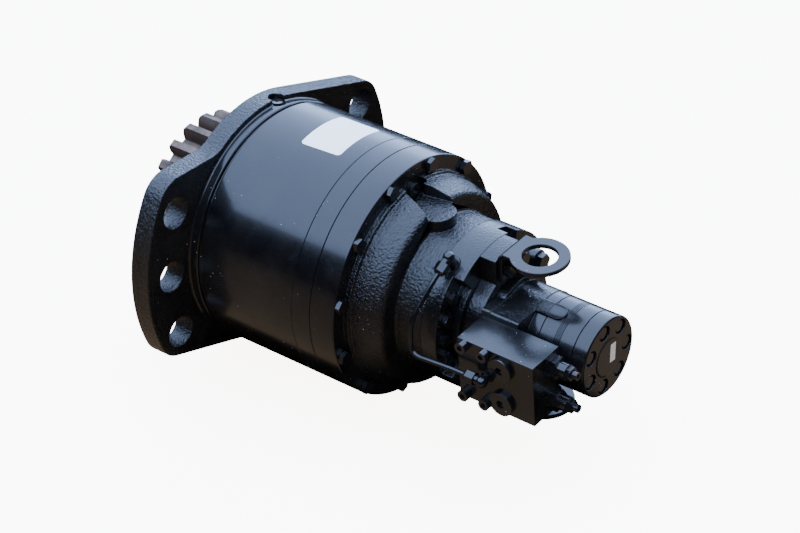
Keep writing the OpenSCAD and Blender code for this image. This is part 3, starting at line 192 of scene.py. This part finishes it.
@dataclass(frozen=True)
class BlackEnamel:
    """Sprayed black gloss enamel: a deep black that mirrors the light above it.

    On turned metal it is smooth, with a faint orange peel, a film of dust and a few flecks of it.
    Over a casting the sand's grain shows through it as a glossy pebbled bump. Real sand is finer
    than a pixel of the picture, so the grain is drawn coarse enough to show.
    """

    name: str
    surface: Surface
    black: str = "08080a"
    dust: str = "232220"
    dust_share: float = 0.3
    dust_patch_mm: float = 60.0
    rough_low: float = 0.18
    rough_high: float = 0.28
    streak_mm: float = 18.0
    index: float = 1.5
    coat: float = 0.3
    coat_rough: float = 0.12
    peel_mm: float = 5.0
    peel_height_mm: float = 0.01
    grain_mm: float = 3.0
    grain_height_mm: float = 1.7
    lump_mm: float = 14.0
    lump_height_mm: float = 0.5
    cast_share: float = 0.35
    fleck: str = "8a8b8f"
    fleck_mm: float = 0.45
    fleck_edge: float = 1.6
    fleck_share: float = 0.8
    fleck_pitch_mm: float = 8.0
    drift_mm: float = 50.0

    def build(self) -> bpy.types.Material:
        """Makes the enamel's material.

        Returns:
            The material.
        """
        material, tree, output, place = blank_material(self.name)
        patches = add_node(tree, "ShaderNodeTexNoise", values={
            "Scale": per_metre(self.dust_patch_mm), "Detail": 6.0, "Roughness": 0.65},
            links={"Vector": place})
        dusty = add_node(tree, "ShaderNodeMapRange", values={
            "From Min": 0.45, "From Max": 0.75, "To Min": 0.0, "To Max": self.dust_share},
            links={"Value": patches.outputs["Fac"]})
        film = add_node(tree, "ShaderNodeMix", settings={"data_type": "RGBA"}, values={
            "A": linear(self.black), "B": linear(self.dust)},
            links={"Factor": dusty.outputs["Result"]})
        flecks = self.dust_flecks(tree, place)
        colour = add_node(tree, "ShaderNodeMix", settings={"data_type": "RGBA"}, values={
            "B": linear(self.fleck)},
            links={"A": film.outputs["Result"], "Factor": flecks})
        streaks = add_node(tree, "ShaderNodeTexNoise", values={
            "Scale": per_metre(self.streak_mm), "Detail": 6.0, "Roughness": 0.65},
            links={"Vector": place})
        rough = add_node(tree, "ShaderNodeMapRange", values={
            "From Min": 0.3, "From Max": 0.7, "To Min": self.rough_low, "To Max": self.rough_high},
            links={"Value": streaks.outputs["Fac"]})
        peel = add_node(tree, "ShaderNodeTexNoise", values={
            "Scale": per_metre(self.peel_mm), "Detail": 1.0}, links={"Vector": place})
        bump = add_node(tree, "ShaderNodeBump", values={
            "Strength": 1.0, "Distance": self.peel_height_mm * MM},
            links={"Height": peel.outputs["Fac"]})
        if self.surface is not Surface.TURNED:
            bump = self.cast_grain(tree, place, bump)
        shader = add_node(tree, "ShaderNodeBsdfPrincipled", values={
            "IOR": self.index, "Coat Weight": self.coat, "Coat Roughness": self.coat_rough,
            "Metallic": 0.0},
            links={"Base Color": colour.outputs["Result"], "Roughness": rough.outputs["Result"],
                   "Normal": bump.outputs["Normal"], "Coat Normal": bump.outputs["Normal"]})
        tree.links.new(shader.outputs["BSDF"], output.inputs["Surface"])
        return material

    def dust_flecks(self, tree: bpy.types.NodeTree,
                    place: bpy.types.NodeSocket) -> bpy.types.NodeSocket:
        """Scatters small pale flecks of dust, in drifts.

        Args:
            tree: The enamel's tree.
            place: Object coordinates.

        Returns:
            The share of dust, which is highest on a fleck.
        """
        cells = add_node(tree, "ShaderNodeTexVoronoi", values={
            "Scale": per_metre(self.fleck_pitch_mm), "Randomness": 1.0}, links={"Vector": place})
        size = self.fleck_mm / self.fleck_pitch_mm
        spots = add_node(tree, "ShaderNodeMapRange", values={
            "From Min": size, "From Max": size * self.fleck_edge, "To Min": self.fleck_share,
            "To Max": 0.0}, links={"Value": cells.outputs["Distance"]})
        drifts = add_node(tree, "ShaderNodeTexNoise", values={
            "Scale": per_metre(self.drift_mm), "Detail": 2.0}, links={"Vector": place})
        there = add_node(tree, "ShaderNodeMapRange", values={
            "From Min": 0.52, "From Max": 0.6}, links={"Value": drifts.outputs["Fac"]})
        return add_node(tree, "ShaderNodeMath", settings={"operation": "MULTIPLY"}, links={
            0: spots.outputs["Result"], 1: there.outputs["Result"]}).outputs["Value"]

    def cast_grain(self, tree: bpy.types.NodeTree, place: bpy.types.NodeSocket,
                   under: bpy.types.Node) -> bpy.types.Node:
        """Adds the sand grain of the casting, and its slow lumps, to the paint's bump.

        Args:
            tree: The enamel's tree.
            place: Object coordinates.
            under: The bump node to build on.

        Returns:
            The last bump node.
        """
        share = 1.0 if self.surface is Surface.ROUGH_CAST else self.cast_share
        grain = add_node(tree, "ShaderNodeTexNoise", values={
            "Scale": per_metre(self.grain_mm), "Detail": 3.0, "Roughness": 0.5},
            links={"Vector": place})
        grained = add_node(tree, "ShaderNodeBump", values={
            "Strength": 1.0, "Distance": self.grain_height_mm * share * MM},
            links={"Height": grain.outputs["Fac"], "Normal": under.outputs["Normal"]})
        lumps = add_node(tree, "ShaderNodeTexNoise", values={
            "Scale": per_metre(self.lump_mm), "Detail": 2.0}, links={"Vector": place})
        return add_node(tree, "ShaderNodeBump", values={
            "Strength": 1.0, "Distance": self.lump_height_mm * share * MM},
            links={"Height": lumps.outputs["Fac"], "Normal": grained.outputs["Normal"]})


@dataclass(frozen=True)
class BareSteel:
    """Bare steel, hobbed, turned or ground, with fine tool lines and a film of old oil.

    The gear's flanks are brown-grey and dull; ground journals are bright.
    """

    name: str
    steel: str = "8a847c"
    stain: str = "4a3c30"
    stain_share: float = 0.5
    stain_mm: float = 16.0
    roughness: float = 0.4
    brighter: float = 0.08
    duller: float = 0.14
    line_mm: float = 0.8
    line_stretch: float = 0.08
    line_height_mm: float = 0.012

    def build(self) -> bpy.types.Material:
        """Makes the steel's material.

        Returns:
            The material.
        """
        material, tree, output, place = blank_material(self.name)
        patches = add_node(tree, "ShaderNodeTexNoise", values={
            "Scale": per_metre(self.stain_mm), "Detail": 7.0, "Roughness": 0.65},
            links={"Vector": place})
        stained = add_node(tree, "ShaderNodeMapRange", values={
            "From Min": 0.4, "From Max": 0.68, "To Min": 0.0, "To Max": self.stain_share},
            links={"Value": patches.outputs["Fac"]})
        colour = add_node(tree, "ShaderNodeMix", settings={"data_type": "RGBA"}, values={
            "A": linear(self.steel), "B": linear(self.stain)},
            links={"Factor": stained.outputs["Result"]})
        rough = add_node(tree, "ShaderNodeMapRange", values={
            "From Min": 0.3, "From Max": 0.7, "To Min": self.roughness - self.brighter,
            "To Max": self.roughness + self.duller}, links={"Value": patches.outputs["Fac"]})
        stretched = add_node(tree, "ShaderNodeMapping", values={
            "Scale": (self.line_stretch, 1.0, 1.0)}, links={"Vector": place})
        lines = add_node(tree, "ShaderNodeTexNoise", values={
            "Scale": per_metre(self.line_mm), "Detail": 2.0},
            links={"Vector": stretched.outputs["Vector"]})
        bump = add_node(tree, "ShaderNodeBump", values={
            "Strength": 1.0, "Distance": self.line_height_mm * MM},
            links={"Height": lines.outputs["Fac"]})
        shader = add_node(tree, "ShaderNodeBsdfPrincipled", values={"Metallic": 1.0}, links={
            "Base Color": colour.outputs["Result"], "Roughness": rough.outputs["Result"],
            "Normal": bump.outputs["Normal"]})
        tree.links.new(shader.outputs["BSDF"], output.inputs["Surface"])
        return material


@dataclass(frozen=True)
class MattStock:
    """A matt non-metal, such as nitrile rubber, lining paper or the bare stock of a label."""

    name: str
    colour: str
    other: str
    roughness: float = 0.6
    rough_spread: float = 0.06
    patch_mm: float = 12.0
    grain_mm: float = 0.6
    grain_height_mm: float = 0.02

    def build(self) -> bpy.types.Material:
        """Makes the matt material.

        Returns:
            The material.
        """
        material, tree, output, place = blank_material(self.name)
        patches = add_node(tree, "ShaderNodeTexNoise", values={
            "Scale": per_metre(self.patch_mm), "Detail": 4.0}, links={"Vector": place})
        colour = add_node(tree, "ShaderNodeMix", settings={"data_type": "RGBA"}, values={
            "A": linear(self.colour), "B": linear(self.other)},
            links={"Factor": patches.outputs["Fac"]})
        rough = add_node(tree, "ShaderNodeMapRange", values={
            "To Min": self.roughness - self.rough_spread,
            "To Max": self.roughness + self.rough_spread},
            links={"Value": patches.outputs["Fac"]})
        grain = add_node(tree, "ShaderNodeTexNoise", values={
            "Scale": per_metre(self.grain_mm), "Detail": 2.0}, links={"Vector": place})
        bump = add_node(tree, "ShaderNodeBump", values={
            "Strength": 1.0, "Distance": self.grain_height_mm * MM},
            links={"Height": grain.outputs["Fac"]})
        shader = add_node(tree, "ShaderNodeBsdfPrincipled", links={
            "Base Color": colour.outputs["Result"], "Roughness": rough.outputs["Result"],
            "Normal": bump.outputs["Normal"]})
        tree.links.new(shader.outputs["BSDF"], output.inputs["Surface"])
        return material


@dataclass
class Paintshop:
    """Every finish on the drive, each built once."""

    turned: bpy.types.Material = field(init=False)
    cast: bpy.types.Material = field(init=False)
    rough: bpy.types.Material = field(init=False)
    fastener: bpy.types.Material = field(init=False)
    gear: bpy.types.Material = field(init=False)
    ground: bpy.types.Material = field(init=False)
    spring: bpy.types.Material = field(init=False)
    rubber: bpy.types.Material = field(init=False)
    lining: bpy.types.Material = field(init=False)
    label: bpy.types.Material = field(init=False)
    foil: bpy.types.Material = field(init=False)

    def __post_init__(self) -> None:
        """Builds the materials."""
        self.turned = BlackEnamel("enamel_on_turned_steel", Surface.TURNED).build()
        self.cast = BlackEnamel("enamel_on_casting", Surface.CAST).build()
        self.rough = BlackEnamel("enamel_on_rough_casting", Surface.ROUGH_CAST).build()
        self.fastener = BlackEnamel("enamel_on_fasteners", Surface.TURNED, black="0b0b0d",
                                    rough_low=0.1, rough_high=0.2, coat_rough=0.06).build()
        self.gear = BareSteel("hobbed_gear_steel", steel="796a5f", stain="483a31",
                              roughness=0.55).build()
        self.ground = BareSteel("ground_steel", steel="b9babb", stain="8b877f",
                                stain_share=0.3, roughness=0.24).build()
        self.spring = BareSteel("spring_steel", steel="5d6068", stain="3a3634").build()
        self.rubber = MattStock("nitrile_rubber", "161616", "222120", roughness=0.55).build()
        self.lining = MattStock("paper_friction_lining", "6a543b", "4f3d2c", roughness=0.8).build()
        self.label = MattStock("bare_polyester_label", "fafafb", "f0f1f3", roughness=0.42,
                               grain_height_mm=0.004).build()
        self.foil = MattStock("bare_foil_label", "b9b4ab", "8d877e", roughness=0.4, patch_mm=4.0,
                              grain_height_mm=0.004).build()

    def by_slot(self) -> dict[str, bpy.types.Material]:
        """Finishes of the nodes that stay as the CAD made them, by material slot.

        Returns:
            A material for each of the record's slots.
        """
        return {"black_paint": self.turned, "black_casting": self.cast, "steel_gear": self.gear,
                "bright_steel": self.ground, "dark_fastener": self.fastener,
                "spring_steel": self.spring, "seal_rubber": self.rubber, "friction": self.lining}


@dataclass(frozen=True)
class Machined:
    """The stretch of a casting that was turned smooth before it was painted."""

    x_low_mm: float
    x_high_mm: float
    radius_mm: float

    def holds(self, face: bmesh.types.BMFace) -> bool:
        """Tells whether a face lies wholly in the turned stretch."""
        return all(self.x_low_mm * MM <= v.co.x <= self.x_high_mm * MM
                   and math.hypot(v.co.y, v.co.z) <= self.radius_mm * MM for v in face.verts)


@dataclass(frozen=True)
class Dressing:
    """How one CAD node is copied for the picture.

    The edge break is as wide as break_mm. Edges that turn more than sharp_deg shade as corners, and
    those that turn more than bevel_deg are broken.
    """

    node: str
    finish: str
    break_mm: float
    segments: int = 2
    sharp_deg: float = 28.0
    bevel_deg: float = 35.0
    machined: Machined | None = None


def slot_of(node: str) -> str:
    """The record's material slot of a CAD node."""
    return next(e["material_slot"] for e in frame["record"]["subparts"] if e["node"] == node)


def body_of(node: str) -> str:
    """The CAD body that a node rides on."""
    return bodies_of(frame["nodes"][node])[0]


def merged_copy(node: str, sharp_deg: float) -> bmesh.types.BMesh:
    """Copies a CAD node's loose triangles and joins them into clean flat faces.

    Args:
        node: The CAD node.
        sharp_deg: Edges that turn more than this many degrees stay sharp.

    Returns:
        The joined mesh, which the caller frees.
    """
    shape = bmesh.new()
    shape.from_mesh(frame["nodes"][node].data)
    bmesh.ops.remove_doubles(shape, verts=shape.verts, dist=DOUBLES_M)
    bmesh.ops.dissolve_limit(shape, angle_limit=math.radians(FLAT_DEG), verts=shape.verts,
                             edges=shape.edges, delimit=set())
    for face in shape.faces:
        face.smooth = True
    limit = math.radians(sharp_deg)
    for edge in shape.edges:
        edge.smooth = len(edge.link_faces) == 2 and edge.calc_face_angle(0.0) < limit
    return shape


def settle_edges(piece: bpy.types.Object, surface: BVHTree, reach: float) -> None:
    """Makes a piece's edge breaks part of its mesh and pulls stray corners back to the surface.

    Args:
        piece: The piece with its bevel.
        surface: The surface before the edges were broken.
        reach: The farthest, in metres, that a corner of an edge break may lie from it.
    """
    graph = bpy.context.evaluated_depsgraph_get()
    mesh = bpy.data.meshes.new_from_object(piece.evaluated_get(graph), depsgraph=graph)
    piece.modifiers.clear()
    mesh.name = piece.data.name
    piece.data = mesh
    strays = 0
    for vert in mesh.vertices:
        nearest, _, _, distance = surface.find_nearest(vert.co)
        if distance > reach:
            vert.co = nearest
            strays += 1
    LOG.info("%s: %d stray corners pulled back", piece.name, strays)


def dress(dressing: Dressing, shop: Paintshop) -> bpy.types.Object:
    """Makes the visible piece for one CAD node: a merged copy with its edges broken, painted.

    Args:
        dressing: The node, its finish and its edge break.
        shop: The finishes.

    Returns:
        The piece, riding on the node's body and standing for the node.
    """
    shape = merged_copy(dressing.node, dressing.sharp_deg)
    if dressing.machined:
        for face in shape.faces:
            face.material_index = int(dressing.machined.holds(face))
    surface = BVHTree.FromBMesh(shape)
    mesh = bpy.data.meshes.new(f"{dressing.node}_dressed")
    shape.to_mesh(mesh)
    shape.free()
    mesh.materials.append(getattr(shop, dressing.finish))
    if dressing.machined:
        mesh.materials.append(shop.turned)
    piece = bpy.data.objects.new(f"{dressing.node}_dressed", mesh)
    bpy.context.scene.collection.objects.link(piece)
    if dressing.break_mm > 0:
        bevel = piece.modifiers.new("broken_edges", "BEVEL")
        bevel.width = dressing.break_mm * MM
        bevel.segments = dressing.segments
        bevel.limit_method = "ANGLE"
        bevel.angle_limit = math.radians(dressing.bevel_deg)
        # Fasteners have faces narrower than two breaks, so theirs narrows where it has to.
        bevel.use_clamp_overlap = dressing.finish == "fastener"
        bevel.harden_normals = True
        settle_edges(piece, surface, STRAY_SHARE * dressing.break_mm * MM)
    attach(piece, body_of(dressing.node))
    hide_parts(dressing.node)
    LOG.info("%s: %d faces", piece.name, len(piece.data.polygons))
    return piece


@dataclass
class SubAssembly:
    """A group of CAD nodes dressed alike."""

    shop: Paintshop
    dressings: Sequence[Dressing] = ()

    def build(self) -> list[bpy.types.Object]:
        """Dresses the group's nodes.

        Returns:
            The pieces.
        """
        return [dress(d, self.shop) for d in self.dressings]


@dataclass(frozen=True)
class Label:
    """A bare stick-on label with rounded corners."""

    name: str
    length_mm: float
    width_mm: float
    corner_mm: float
    skew_deg: float = 0.0
    thickness_mm: float = 0.15
    gap_mm: float = 0.02
    corner_segments: int = 6

    def sheet(self, strips: int = 1) -> bmesh.types.BMesh:
        """Makes the flat sheet in the XY plane, its underside just above zero.

        Args:
            strips: The number of strips it is cut into across Y, so that it can bend.

        Returns:
            The sheet, which the caller places.
        """
        shape = bmesh.new()
        bmesh.ops.create_grid(shape, x_segments=1, y_segments=1, size=0.5)
        bmesh.ops.scale(shape, verts=shape.verts, vec=(self.length_mm * MM, self.width_mm * MM, 1))
        bmesh.ops.bevel(shape, geom=shape.verts[:], offset=self.corner_mm * MM,
                        offset_type="OFFSET", segments=self.corner_segments, profile=0.5,
                        affect="VERTICES", material=-1)
        bmesh.ops.rotate(shape, verts=shape.verts, cent=(0, 0, 0),
                         matrix=Matrix.Rotation(math.radians(self.skew_deg), 3, "Z"))
        for k in range(1, strips):
            y = (k / strips - 0.5) * self.width_mm * MM
            bmesh.ops.bisect_plane(shape, geom=[*shape.verts, *shape.edges, *shape.faces],
                                   plane_co=(0, y, 0), plane_no=(0, 1, 0))
        bmesh.ops.recalc_face_normals(shape, faces=shape.faces)
        bmesh.ops.solidify(shape, geom=shape.faces[:], thickness=self.thickness_mm * MM)
        lowest = min(v.co.z for v in shape.verts)
        bmesh.ops.translate(shape, verts=shape.verts, vec=(0, 0, self.gap_mm * MM - lowest))
        bmesh.ops.recalc_face_normals(shape, faces=shape.faces)
        return shape

    def stick(self, shape: bmesh.types.BMesh, stock: bpy.types.Material,
              node: str) -> bpy.types.Object:
        """Makes the placed sheet a piece that rides with a CAD node.

        Args:
            shape: The sheet in its place, which is freed.
            stock: What the label is made of.
            node: The node it is stuck on.

        Returns:
            The label.
        """
        mesh = bpy.data.meshes.new(self.name)
        shape.to_mesh(mesh)
        shape.free()
        piece = bpy.data.objects.new(self.name, mesh)
        bpy.context.scene.collection.objects.link(piece)
        mesh.materials.append(stock)
        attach(piece, body_of(node))
        return piece


@dataclass
class FlangeEnd(SubAssembly):
    """Mounting flange with its two ears, and the pinion behind it."""

    dressings: Sequence[Dressing] = (
        Dressing("mounting_flange", "rough", break_mm=1.4, segments=3,
                 machined=Machined(x_low_mm=26.5, x_high_mm=60.0, radius_mm=153.0)),
        Dressing("level_plug", "fastener", break_mm=0.3),
        Dressing("pinion_shaft", "gear", break_mm=0.35),
    )


@dataclass
class Drum(SubAssembly):
    """The two ring-gear housings that form the drum, and its bare label."""

    dressings: Sequence[Dressing] = (
        Dressing("output_ring_gear", "turned", break_mm=0.8),
        Dressing("input_ring_gear", "turned", break_mm=0.3),
    )
    radius_mm: float = 150.0
    label: Label = Label("drum_label", length_mm=56.0, width_mm=83.0, corner_mm=5.0, skew_deg=-3.2)
    label_x_mm: float = 131.6
    label_turn_deg: float = 88.0
    label_strips: int = 24

    def build(self) -> list[bpy.types.Object]:
        """Dresses the housings and lays the label on the drum.

        Returns:
            The pieces.
        """
        return super().build() + [self.lay_label()]

    def lay_label(self) -> bpy.types.Object:
        """Bends the label round the drum.

        Returns:
            The label.
        """
        shape = self.label.sheet(self.label_strips)
        radius = self.radius_mm * MM
        for vert in shape.verts:
            turn = math.radians(self.label_turn_deg) + vert.co.y / radius
            out = radius + vert.co.z
            vert.co = (self.label_x_mm * MM + vert.co.x, out * math.cos(turn), out * math.sin(turn))
        return self.label.stick(shape, self.shop.label, "output_ring_gear")


@dataclass
class CoverEnd(SubAssembly):
    """The rough-cast end cover with its bolts and filler plug."""

    dressings: Sequence[Dressing] = (
        Dressing("end_cover", "rough", break_mm=1.0, segments=3,
                 machined=Machined(x_low_mm=200.0, x_high_mm=246.9, radius_mm=151.0)),
        Dressing("cover_bolts", "fastener", break_mm=0.35),
        Dressing("fill_plug", "fastener", break_mm=0.3),
    )


@dataclass
class BrakeEnd(SubAssembly):
    """Brake housing, the adapter behind it, their screws, and the lifting lugs."""

    dressings: Sequence[Dressing] = (
        Dressing("brake_housing", "cast", break_mm=0.9),
        Dressing("brake_housing_screws", "fastener", break_mm=0.3),
        Dressing("motor_adapter", "cast", break_mm=0.8),
        Dressing("upper_lug", "turned", break_mm=1.2, segments=3),
        Dressing("lower_lug", "turned", break_mm=1.2, segments=3),
        Dressing("lug_screws", "fastener", break_mm=0.3),
    )


@dataclass
class MotorEnd(SubAssembly):
    """The orbital motor: cast body, port plate, manifold plates, stator and end cap."""

    dressings: Sequence[Dressing] = (
        Dressing("motor_housing", "cast", break_mm=0.9,
                 machined=Machined(x_low_mm=439.8, x_high_mm=500.0, radius_mm=60.0)),
        Dressing("motor_bolts", "fastener", break_mm=0.3),
        Dressing("port_plate", "turned", break_mm=0.3),
        Dressing("manifold_plates", "turned", break_mm=0.15),
        Dressing("stator_ring", "turned", break_mm=0.3),
        Dressing("motor_end_cap", "turned", break_mm=0.8),
        Dressing("end_cap_bolts", "fastener", break_mm=0.3),
    )
    plate: Label = Label("end_cap_label", length_mm=24.0, width_mm=10.0, corner_mm=0.8)
    plate_at_mm: tuple[float, float] = (7.3, 3.6)

    def build(self) -> list[bpy.types.Object]:
        """Dresses the motor and sticks the small bare label on its end cap.

        Returns:
            The pieces.
        """
        shape = self.plate.sheet()
        face_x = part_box("motor_end_cap")[1][0]
        # The flat sheet is stood up, so that its top faces away from the motor.
        bmesh.ops.rotate(shape, verts=shape.verts, cent=(0, 0, 0),
                         matrix=Matrix(((0, 0, 1), (0, 1, 0), (-1, 0, 0))))
        bmesh.ops.translate(shape, verts=shape.verts, vec=(
            face_x, self.plate_at_mm[0] * MM, self.plate_at_mm[1] * MM))
        return super().build() + [self.plate.stick(shape, self.shop.foil, "motor_end_cap")]


@dataclass
class ReliefBlock(SubAssembly):
    """The relief-valve block with its plugs, cartridges and adjusting screws."""

    dressings: Sequence[Dressing] = (
        Dressing("valve_block", "turned", break_mm=0.6),
        Dressing("gallery_plugs", "fastener", break_mm=0.3),
        Dressing("block_screws", "fastener", break_mm=0.25),
        Dressing("relief_cartridges", "fastener", break_mm=0.3),
        Dressing("adjuster_lock_nuts", "fastener", break_mm=0.3),
        Dressing("upper_adjuster", "fastener", break_mm=0.2),
        Dressing("lower_adjuster", "fastener", break_mm=0.2),
    )


@dataclass
class BrakeLine(SubAssembly):
    """The brake release line: elbows, tube nuts and the bent pipe."""

    dressings: Sequence[Dressing] = (
        Dressing("brake_line_elbows", "fastener", break_mm=0.3),
        Dressing("tube_nuts", "fastener", break_mm=0.25),
        Dressing("brake_tube", "turned", break_mm=0.0, sharp_deg=60.0),
    )


@dataclass
class BrakeSprings(SubAssembly):
    """The brake's conical disc springs, which flatten as oil pushes the piston back."""

    dressings: Sequence[Dressing] = (
        Dressing("brake_disc_springs", "spring", break_mm=0.0),
    )
    travel_mm: float = 2.0

    def build(self) -> list[bpy.types.Object]:
        """Dresses the springs and gives each piece a copy of its mesh of its own.

        Returns:
            The springs.
        """
        pieces = super().build()
        for piece in pieces:
            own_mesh(piece)
        return pieces


@dataclass
class Inside:
    """Gears, bearings, brake discs and motor parts that stay as the CAD made them."""

    shop: Paintshop

    def build(self) -> None:
        """Gives every node that is still shown the finish of its slot."""
        finishes = self.shop.by_slot()
        for name, node in frame["nodes"].items():
            if node.hide_render:
                continue
            finish = finishes[slot_of(name)]
            node.data.materials.clear()
            node.data.materials.append(finish)


@dataclass(frozen=True)
class Softbox:
    """A large rectangular soft light, whose power follows from its radiance and its size."""

    name: str
    place: tuple[float, float, float]
    size: tuple[float, float]
    radiance: float
    colour: str
    turn_deg: tuple[float, float, float] = (0.0, 0.0, 0.0)
    spread_deg: float = 180.0

    def hang(self) -> None:
        """Hangs the light. It lights the scene but is out of the picture itself."""
        data = bpy.data.lights.new(self.name, "AREA")
        data.shape = "RECTANGLE"
        data.size, data.size_y = self.size
        data.energy = self.radiance * math.pi * self.size[0] * self.size[1]
        data.color = linear(self.colour)[:3]
        data.spread = math.radians(self.spread_deg)
        lamp = bpy.data.objects.new(self.name, data)
        bpy.context.scene.collection.objects.link(lamp)
        lamp.location = self.place
        lamp.rotation_euler = [math.radians(v) for v in self.turn_deg]
        lamp.visible_camera = False


@dataclass
class Studio:
    """Pale floor, soft lights and the camera at the photograph's angle.

    One wide light hangs overhead and one stands behind the drive. Two faint warm ones lie on the
    floor and give the drive's underside what a pale table would throw back. Places and sizes are in
    metres.
    """

    floor_z: float
    camera_at: tuple[float, float, float] = (1.850268, -2.069058, 1.634713)
    camera_turn_deg: tuple[float, float, float] = (58.2138, -0.2620, 38.3164)
    lens_mm: float = 118.42
    sensor_mm: float = 36.0
    far_clip: float = 60.0
    floor_half: float = 14.0
    floor_glow: float = 8.0
    floor_glow_colour: str = "fffaf2"
    bounce_lift: float = 0.004

    def build(self) -> None:
        """Builds the camera, the world, the floor and the lights."""
        self.place_camera()
        self.light_world()
        self.lay_floor()
        ground = self.floor_z + self.bounce_lift
        for light in (
                Softbox("overhead", place=(-1.5, 0.9, 2.6), size=(8.0, 11.0), radiance=4.9,
                        colour="b4ceff"),
                Softbox("back_wall", place=(-2.5, 6.6, 1.4), size=(8.0, 2.6), radiance=6.2,
                        colour="b6d0ff", turn_deg=(-90.0, 0.0, 0.0)),
                Softbox("front_bounce", place=(0.0, -2.4, ground), size=(9.0, 4.5), radiance=0.3,
                        colour="ffe2c0", turn_deg=(180.0, 0.0, 0.0), spread_deg=172.0),
                Softbox("back_bounce", place=(2.4, 2.06, ground), size=(3.8, 3.88), radiance=0.31,
                        colour="ffe6cd", turn_deg=(180.0, 0.0, 0.0))):
            light.hang()

    def place_camera(self) -> None:
        """Creates the camera and makes it the scene's."""
        data = bpy.data.cameras.new("studio_camera")
        data.lens = self.lens_mm
        data.sensor_width = self.sensor_mm
        data.clip_end = self.far_clip
        camera = bpy.data.objects.new("studio_camera", data)
        bpy.context.scene.collection.objects.link(camera)
        camera.location = self.camera_at
        camera.rotation_euler = [math.radians(v) for v in self.camera_turn_deg]
        bpy.context.scene.camera = camera

    def light_world(self) -> None:
        """Fills the studio with an even white light that the gloss doesn't mirror."""
        world = bpy.data.worlds.new("studio_world")
        world.use_nodes = True
        background = world.node_tree.nodes["Background"]
        background.inputs["Color"].default_value = linear("ffffff")
        background.inputs["Strength"].default_value = 1.0
        world.cycles_visibility.glossy = False
        bpy.context.scene.world = world

    def lay_floor(self) -> None:
        """Lays the pale table under the drive's lowest point.

        Its own glow keeps it near white in the picture. It neither lights the drive nor shows in
        its gloss, which is left to the soft lights.
        """
        shape = bmesh.new()
        bmesh.ops.create_grid(shape, x_segments=1, y_segments=1, size=self.floor_half)
        bmesh.ops.translate(shape, verts=shape.verts, vec=(0, 0, self.floor_z))
        mesh = bpy.data.meshes.new("studio_floor")
        shape.to_mesh(mesh)
        shape.free()
        floor = bpy.data.objects.new("studio_floor", mesh)
        bpy.context.scene.collection.objects.link(floor)
        stock = MattStock("pale_floor", "f4f2ec", "f0eee8", roughness=0.7).build()
        shader = next(n for n in stock.node_tree.nodes if n.type == "BSDF_PRINCIPLED")
        shader.inputs["Emission Color"].default_value = linear(self.floor_glow_colour)
        shader.inputs["Emission Strength"].default_value = self.floor_glow
        mesh.materials.append(stock)
        floor.visible_glossy = False
        floor.visible_diffuse = False
        floor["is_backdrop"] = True


def as_lists(bounds: Iterable[Iterable[float]]) -> list[list[float]]:
    """A pair of corners as plain lists of numbers."""
    return [[float(v) for v in corner] for corner in bounds]


def main() -> None:
    """Builds the picture."""
    logging.basicConfig(level=logging.INFO, format="%(message)s")
    cad_box = as_lists(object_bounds())
    Studio(floor_z=cad_box[0][2]).build()
    shop = Paintshop()
    for group in (FlangeEnd, Drum, CoverEnd, BrakeEnd, MotorEnd, ReliefBlock, BrakeLine,
                  BrakeSprings):
        pieces = group(shop).build()
        LOG.info("%s: %d pieces", group.__name__, len(pieces))
    Inside(shop).build()


if __name__ == "__main__":
    main()
